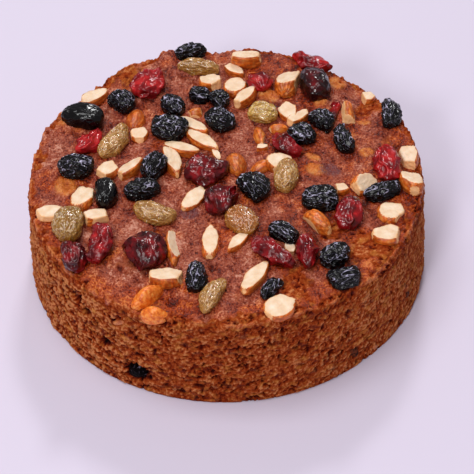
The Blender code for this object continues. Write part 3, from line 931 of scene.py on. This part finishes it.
# Painted light: the steep end and side cuts are painted lighter and warmer, standing for light bounced onto
# them
flesh = mix_node(tree, product_node(tree, at_points(tree, "chop"), 0.75), flesh, linear(255, 186, 118))
husk = ramp_node(
    tree, noise_node(tree, coords, 1.4), (0.3, (192, 74, 12)), (0.5, (236, 122, 34)), (0.75, (252, 176, 92)),
)
husk = mix_node(tree, product_node(tree, own, 0.4), husk, linear(184, 74, 22))
ribbed = range_node(tree, own, -0.1, 0.1, 0.1, 1.0)
hollow = product_node(tree, range_node(tree, at_points(tree, "rib"), 0.4, 0.0, 0, 0.4), ribbed)
husk = mix_node(tree, hollow, husk, linear(136, 46, 8))
groove = group_node(tree, crease_net, Coords=place_on_piece(tree, 0.14), Spacing=2, Detail=1, Sharpness=7)
husk = mix_node(tree, product_node(tree, groove, ribbed, 0.6), husk, linear(116, 36, 6))
is_skin = range_node(tree, margin, -0.02, 0.06)
colour = mix_node(tree, is_skin, flesh, husk)
lay_on(tree, shader, colour, noise_node(tree, coords, 1.0, 4), 0.25, range_node(tree, is_skin, 0, 1, 0.6, 0.34))


# ---- Buried nuts and raisins ----
# Chopped nuts and raisins that sank into the batter, and lie open where the wall is torn. Crumb clings to
# all but the largest raisin.

# Angle in degrees, height above the base, length, width, tilt in degrees, and how far each stands out
WALL_NUTS = (
    (-45.2, 2.7, 4.4, 2.8, 40, -0.3), (-123, 33, 7.0, 2.2, -35, -0.3), (20, 14, 4.6, 2.6, 15, -0.3),
    (58, 30, 5.0, 2.4, -15, -0.3), (95, 11, 4.2, 3.0, 30, -0.3), (131, 26, 5.2, 2.6, -10, -0.3),
    (171, 15, 4.0, 2.6, 35, -0.3), (205, 22, 3.8, 2.2, -30, -0.3),
)
WALL_RAISINS = (
    (-117.4, 9.0, 10.0, 7.6, -40, 0.2), (-53.3, 8.0, 7.0, 3.8, 70, -0.2), (-28.0, 11.6, 5.6, 3.4, 55, -0.2),
    (12, 27, 6.5, 4.0, 20, -0.3), (77, 17, 7.5, 4.4, -25, -0.3), (112, 31, 5.0, 3.2, 15, -0.3),
    (150, 12, 8.0, 5.0, 30, -0.3), (188, 27, 5.6, 3.4, -15, -0.3), (222, 10, 5.0, 3.0, 25, -0.3),
)
BURIED_ROWS, BURIED_TURNS = 20, 32
# How deep each is for its width
BURIED_DEPTH = 0.8


def buried_piece(name, in_wall, lumps):
    """One piece of all the buried bits of a kind: ovals swollen and creased by noise, and set in the wall with
    their flat side along it. The first has its own value of 0, and the others have 1."""
    grown = []
    for number, (degrees, height, length, width, tilt, stands) in enumerate(in_wall):
        depth = width * BURIED_DEPTH
        points = oval(BURIED_ROWS, BURIED_TURNS) * (length / 2, width / 2, depth / 2)
        offset = np.array((number * 11.9, 0, number * 2.3))
        swell = lumps * soft_noise(points / (width * 0.6) + offset, 400)
        points *= (1 + swell + 0.05 * soft_noise(points / 1.2 + offset, 404))[:, None]
        out = math.radians(degrees)
        # Length runs round the wall, width up it and depth out of it, and then the piece is tilted
        stood = Matrix.Rotation(out + math.pi / 2, 3, "Z") @ Matrix.Rotation(math.radians(tilt), 3, "Y")
        stood = stood @ Matrix.Rotation(math.pi / 2, 3, "X")
        away = BASE_RADIUS - (BASE_RADIUS - TOP_RADIUS) * height / WALL_TOP - depth / 2 + stands
        points = points @ np.array(stood).T + (away * math.cos(out), away * math.sin(out), height)
        grown.append({"points": points, "own": np.full(len(points), number > 0)})
    return joined_piece(name, BURIED_ROWS, BURIED_TURNS, grown)


buried_nuts = buried_piece("buried_nuts", WALL_NUTS, lumps=0.1)
tree, shader, coords = new_material(buried_nuts, "buried_nut_finish", {"Roughness": 0.45})
mottle = noise_node(tree, coords, 1.6, 4)
glaze = ramp_node(tree, mottle, (0.3, (150, 70, 30)), (0.5, (190, 104, 50)), (0.75, (214, 140, 80)))
lay_on(tree, shader, glaze, noise_node(tree, coords, 0.8), 0.3)

buried_raisins = buried_piece("buried_raisins", WALL_RAISINS, lumps=0.2)
tree, shader, coords = new_material(buried_raisins, "buried_raisin_finish", {"Specular IOR Level": 0.03})
mottle = noise_node(tree, coords, 1.6, 4)
net = group_node(tree, crease_net, Coords=coords, Spacing=2.6, Detail=1, Sharpness=9)
creases = product_node(tree, net, range_node(tree, mottle, 0.35, 0.6))
# Painted highlights: pale bluish lines along the creases of the nearly black skin
stain = ramp_node(tree, creases, (0.3, (6, 2, 3)), (0.7, (26, 18, 24)), (1.0, (120, 108, 124)))
clinging = product_node(tree, at_points(tree, "own"), range_node(tree, mottle, 0.42, 0.56, 0.2, 0.9))
lay_on(tree, shader, mix_node(tree, clinging, stain, linear(112, 52, 30)), creases, 0.5)


# ---- The studio ----
# A pale matt sheet under the cake, a broad soft light overhead, one behind it and one in front, and pale air.
# The camera stands in front and looks down at just under half a right angle.

SHEET_REACH = 3000
corners = SHEET_REACH * np.array([[-1, -1, 0], [1, -1, 0], [1, 1, 0], [-1, 1, 0]])
sheet = put_mesh("floor", corners, [[0, 1, 2, 3]])
new_material(sheet, "floor_finish", {"Roughness": 0.9, "Base Color": linear(214, 205, 224)})

world = bpy.data.worlds.new("pale_air")
world.use_nodes = True
air = world.node_tree.nodes["Background"]
air.inputs["Color"].default_value = (1.0, 0.96, 0.98, 1)
air.inputs["Strength"].default_value = 0.3
bpy.context.scene.world = world

CAKE_MIDDLE = (0, 0, 0.03)


def soft_light(name, place, size, power):
    """A square area light that faces the middle of the cake, with its sizes in metres and watts."""
    light = bpy.data.lights.new(name, "AREA")
    light.size = size
    light.energy = power
    lamp = bpy.data.objects.new(name, light)
    lamp.location = place
    lamp.rotation_euler = (Vector(CAKE_MIDDLE) - Vector(place)).to_track_quat("-Z", "Y").to_euler()
    bpy.context.scene.collection.objects.link(lamp)


soft_light("overhead_softbox", (-0.3, 0.0, 1.5), size=0.8, power=11.5)
soft_light("back_softbox", (0.2, 1.5, 1.5), size=0.3, power=13)
soft_light("front_softbox", (-0.6, -1.35, 1.3), size=0.35, power=13)

camera = bpy.data.cameras.new("camera")
camera.sensor_width = 36
camera.lens = 151.9
camera.clip_start = 0.01
viewer = bpy.data.objects.new("camera", camera)
stand = Vector((0, -0.5870, 0.6123))
look = (Vector((0.0036, -0.0347, 0.0448)) - stand).to_track_quat("-Z", "Y").to_matrix().to_4x4()
viewer.matrix_world = Matrix.Translation(stand) @ look @ Matrix.Rotation(math.radians(-1.76), 4, "Z")
bpy.context.scene.collection.objects.link(viewer)
bpy.context.scene.camera = viewer
bpy.context.scene.view_settings.view_transform = "Standard"

bpy.context.view_layer.update()
